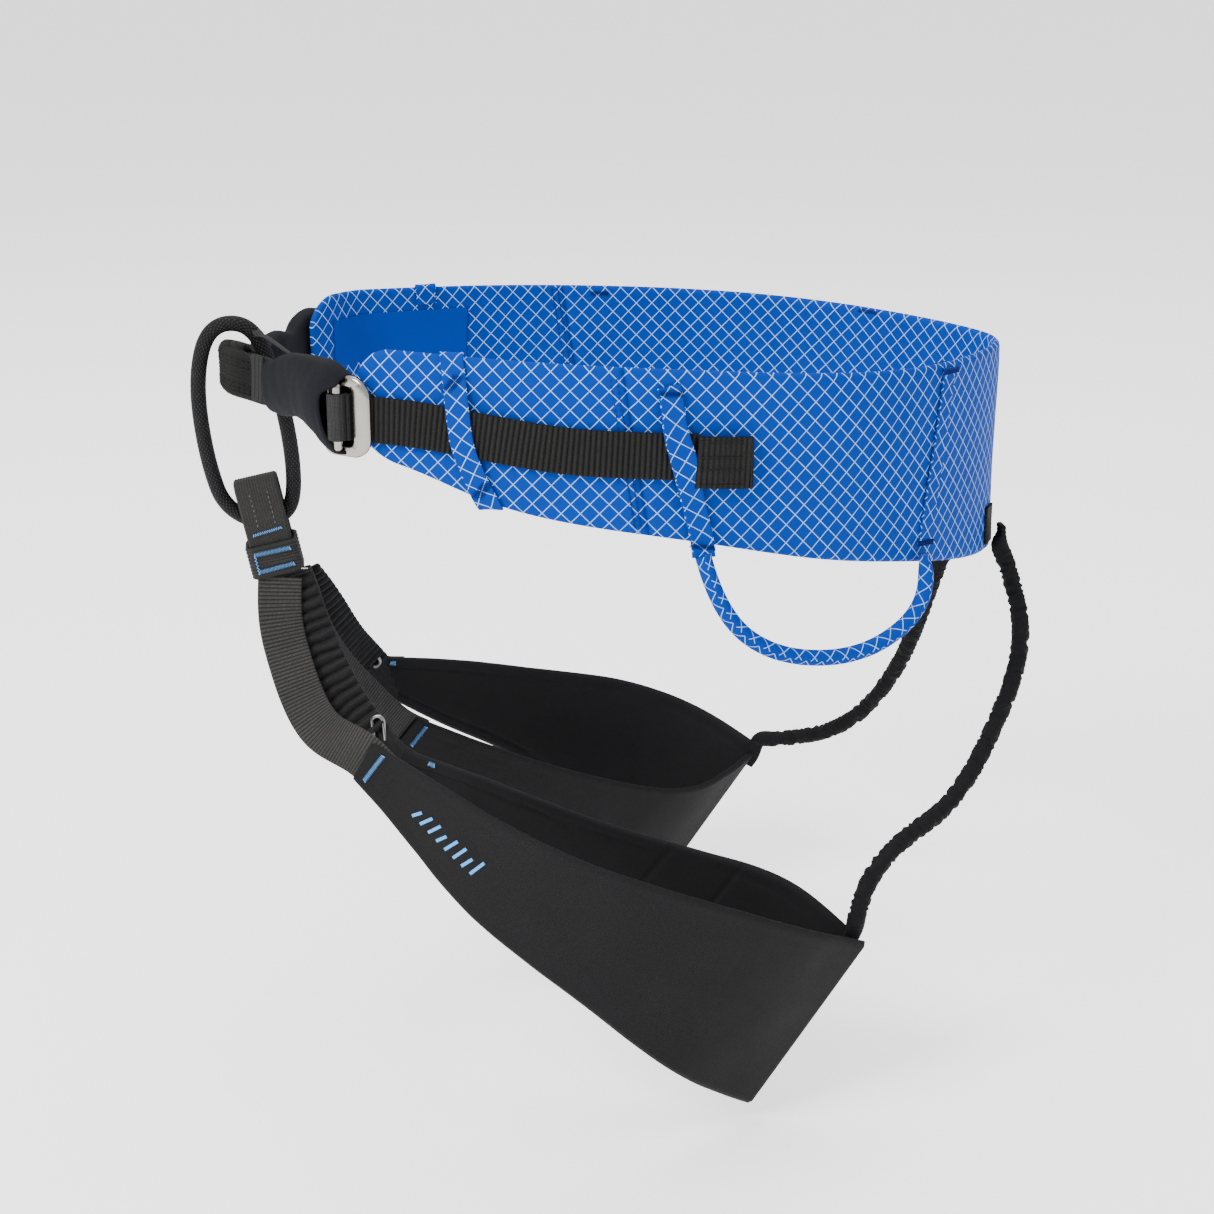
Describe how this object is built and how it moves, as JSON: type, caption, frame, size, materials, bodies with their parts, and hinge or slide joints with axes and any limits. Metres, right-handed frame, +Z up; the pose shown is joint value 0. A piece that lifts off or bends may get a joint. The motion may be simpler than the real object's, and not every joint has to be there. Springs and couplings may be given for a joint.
{
  "type": "climbing harness",
  "caption": "Lightweight climbing harness: wide fabric waist belt, webbing with sliding buckles, rope belay loop, gear loops, leg loops on straps and elastic risers.",
  "frame": {"origin": "middle of the waist opening, half way up the belt, where the wearer's waist goes", "axes": "+Z up, the wearer faces -X, the wearer's left side is -Y, the longest side runs front to back along X"},
  "size_m": [0.383, 0.2992, 0.342],
  "materials": {
    "blue_fabric": "woven ripstop",
    "plain_blue_fabric": "smooth coated",
    "buckle_metal": "polished",
    "hook_metal": "satin",
    "sleeve_fabric": "matt stretch",
    "rope": "braided",
    "black_webbing": "ribbed webbing",
    "black_elastic": "gathered elastic",
    "leg_fabric": "fine weave",
    "leg_lining": "smooth"
  },
  "bodies": {
    "harness": {"belt_back_panel": "blue_fabric", "belt_wing_left": "blue_fabric", "belt_wing_right": "blue_fabric", "front_sleeve_left": "sleeve_fabric", "front_sleeve_right": "sleeve_fabric", "front_strap_left": "black_webbing", "front_strap_right": "black_webbing", "gear_strap_front_left": "blue_fabric", "gear_strap_front_right": "blue_fabric", "gear_strap_rear_left": "blue_fabric", "gear_strap_rear_right": "blue_fabric", "keeper_left": "blue_fabric", "keeper_right": "blue_fabric", "leg_elastic_left": "black_elastic", "leg_elastic_right": "black_elastic", "leg_strap_left": "black_webbing", "leg_strap_right": "black_webbing", "leg_strap_wrap": "black_webbing", "leg_tie_in_loop": "black_webbing", "riser_left": "black_elastic", "riser_right": "black_elastic", "riser_tab_left": "black_webbing", "riser_tab_right": "black_webbing", "tie_in_loop": "black_webbing", "waist_webbing_left": "black_webbing", "waist_webbing_right": "black_webbing", "webbing_end_left": "black_webbing", "webbing_end_right": "black_webbing", "wing_patch_left": "plain_blue_fabric", "wing_patch_right": "plain_blue_fabric"},
    "rope_loop": {"rope_belay_loop": "rope"},
    "gear_loop_left": {"gear_tube_left": "blue_fabric"},
    "gear_loop_right": {"gear_tube_right": "blue_fabric"},
    "buckle_left": {"buckle_frame_left": "buckle_metal"},
    "buckle_right": {"buckle_frame_right": "buckle_metal"},
    "bar_left": {"buckle_bar_left": "buckle_metal", "buckle_webbing_left": "black_webbing"},
    "bar_right": {"buckle_bar_right": "buckle_metal", "buckle_webbing_right": "black_webbing"},
    "leg_left": {"leg_left_inner_lining": "leg_lining", "leg_left_inner_shell": "leg_fabric", "leg_left_outer_lining": "leg_lining", "leg_left_outer_shell": "leg_fabric"},
    "leg_right": {"leg_right_inner_lining": "leg_lining", "leg_right_inner_shell": "leg_fabric", "leg_right_outer_lining": "leg_lining", "leg_right_outer_shell": "leg_fabric"},
    "hook_left": {"leg_hook_left": "hook_metal"},
    "hook_right": {"leg_hook_right": "hook_metal"}
  },
  "joints": [
    {"name": "rope_loop_twist", "type": "hinge", "parent": "harness", "child": "rope_loop", "pos_m": [-0.193, 0, 0], "axis": [0, 0, 1], "range_deg": [-5, 5]},
    {"name": "gear_loop_swing_left", "type": "hinge", "parent": "harness", "child": "gear_loop_left", "pos_m": [-0.006, -0.117, -0.0335], "axis": [-0.9436, -0.3061, 0.1264], "range_deg": [0, 40]},
    {"name": "buckle_turn_left", "type": "hinge", "parent": "harness", "child": "buckle_left", "pos_m": [-0.16046, -0.07012, 0.0185], "axis": [0, 0, -1], "range_deg": [-1, 8]},
    {"name": "buckle_bar_slide_left", "type": "slide", "parent": "buckle_left", "child": "bar_left", "axis": [0.7799, -0.6259, 0], "range_m": [-0.0015, 0.0015]},
    {"name": "leg_loop_swing_left", "type": "hinge", "parent": "harness", "child": "leg_left", "pos_m": [0, -0.115, -0.03], "axis": [0, 1, 0], "range_deg": [-8, 8], "deforming": ["leg_strap_left", "leg_elastic_left", "riser_left"]},
    {"name": "leg_hook_tilt_left", "type": "hinge", "parent": "leg_left", "child": "hook_left", "pos_m": [-0.139, -0.0465, -0.1315], "axis": [0, 1, 0], "range_deg": [-6, 6]},
    {"name": "gear_loop_swing_right", "type": "hinge", "parent": "harness", "child": "gear_loop_right", "pos_m": [-0.006, 0.117, -0.0335], "axis": [0.9436, -0.3061, -0.1264], "range_deg": [0, 40]},
    {"name": "buckle_turn_right", "type": "hinge", "parent": "harness", "child": "buckle_right", "pos_m": [-0.16046, 0.07012, 0.0185], "axis": [0, 0, 1], "range_deg": [-1, 8]},
    {"name": "buckle_bar_slide_right", "type": "slide", "parent": "buckle_right", "child": "bar_right", "axis": [0.7799, 0.6259, 0], "range_m": [-0.0015, 0.0015]},
    {"name": "leg_loop_swing_right", "type": "hinge", "parent": "harness", "child": "leg_right", "pos_m": [0, 0.115, -0.03], "axis": [0, 1, 0], "range_deg": [-8, 8], "deforming": ["leg_strap_right", "leg_elastic_right", "riser_right"]},
    {"name": "leg_hook_tilt_right", "type": "hinge", "parent": "leg_right", "child": "hook_right", "pos_m": [-0.1375, 0.0865, -0.1445], "axis": [0, 1, 0], "range_deg": [-6, 6]}
  ]
}
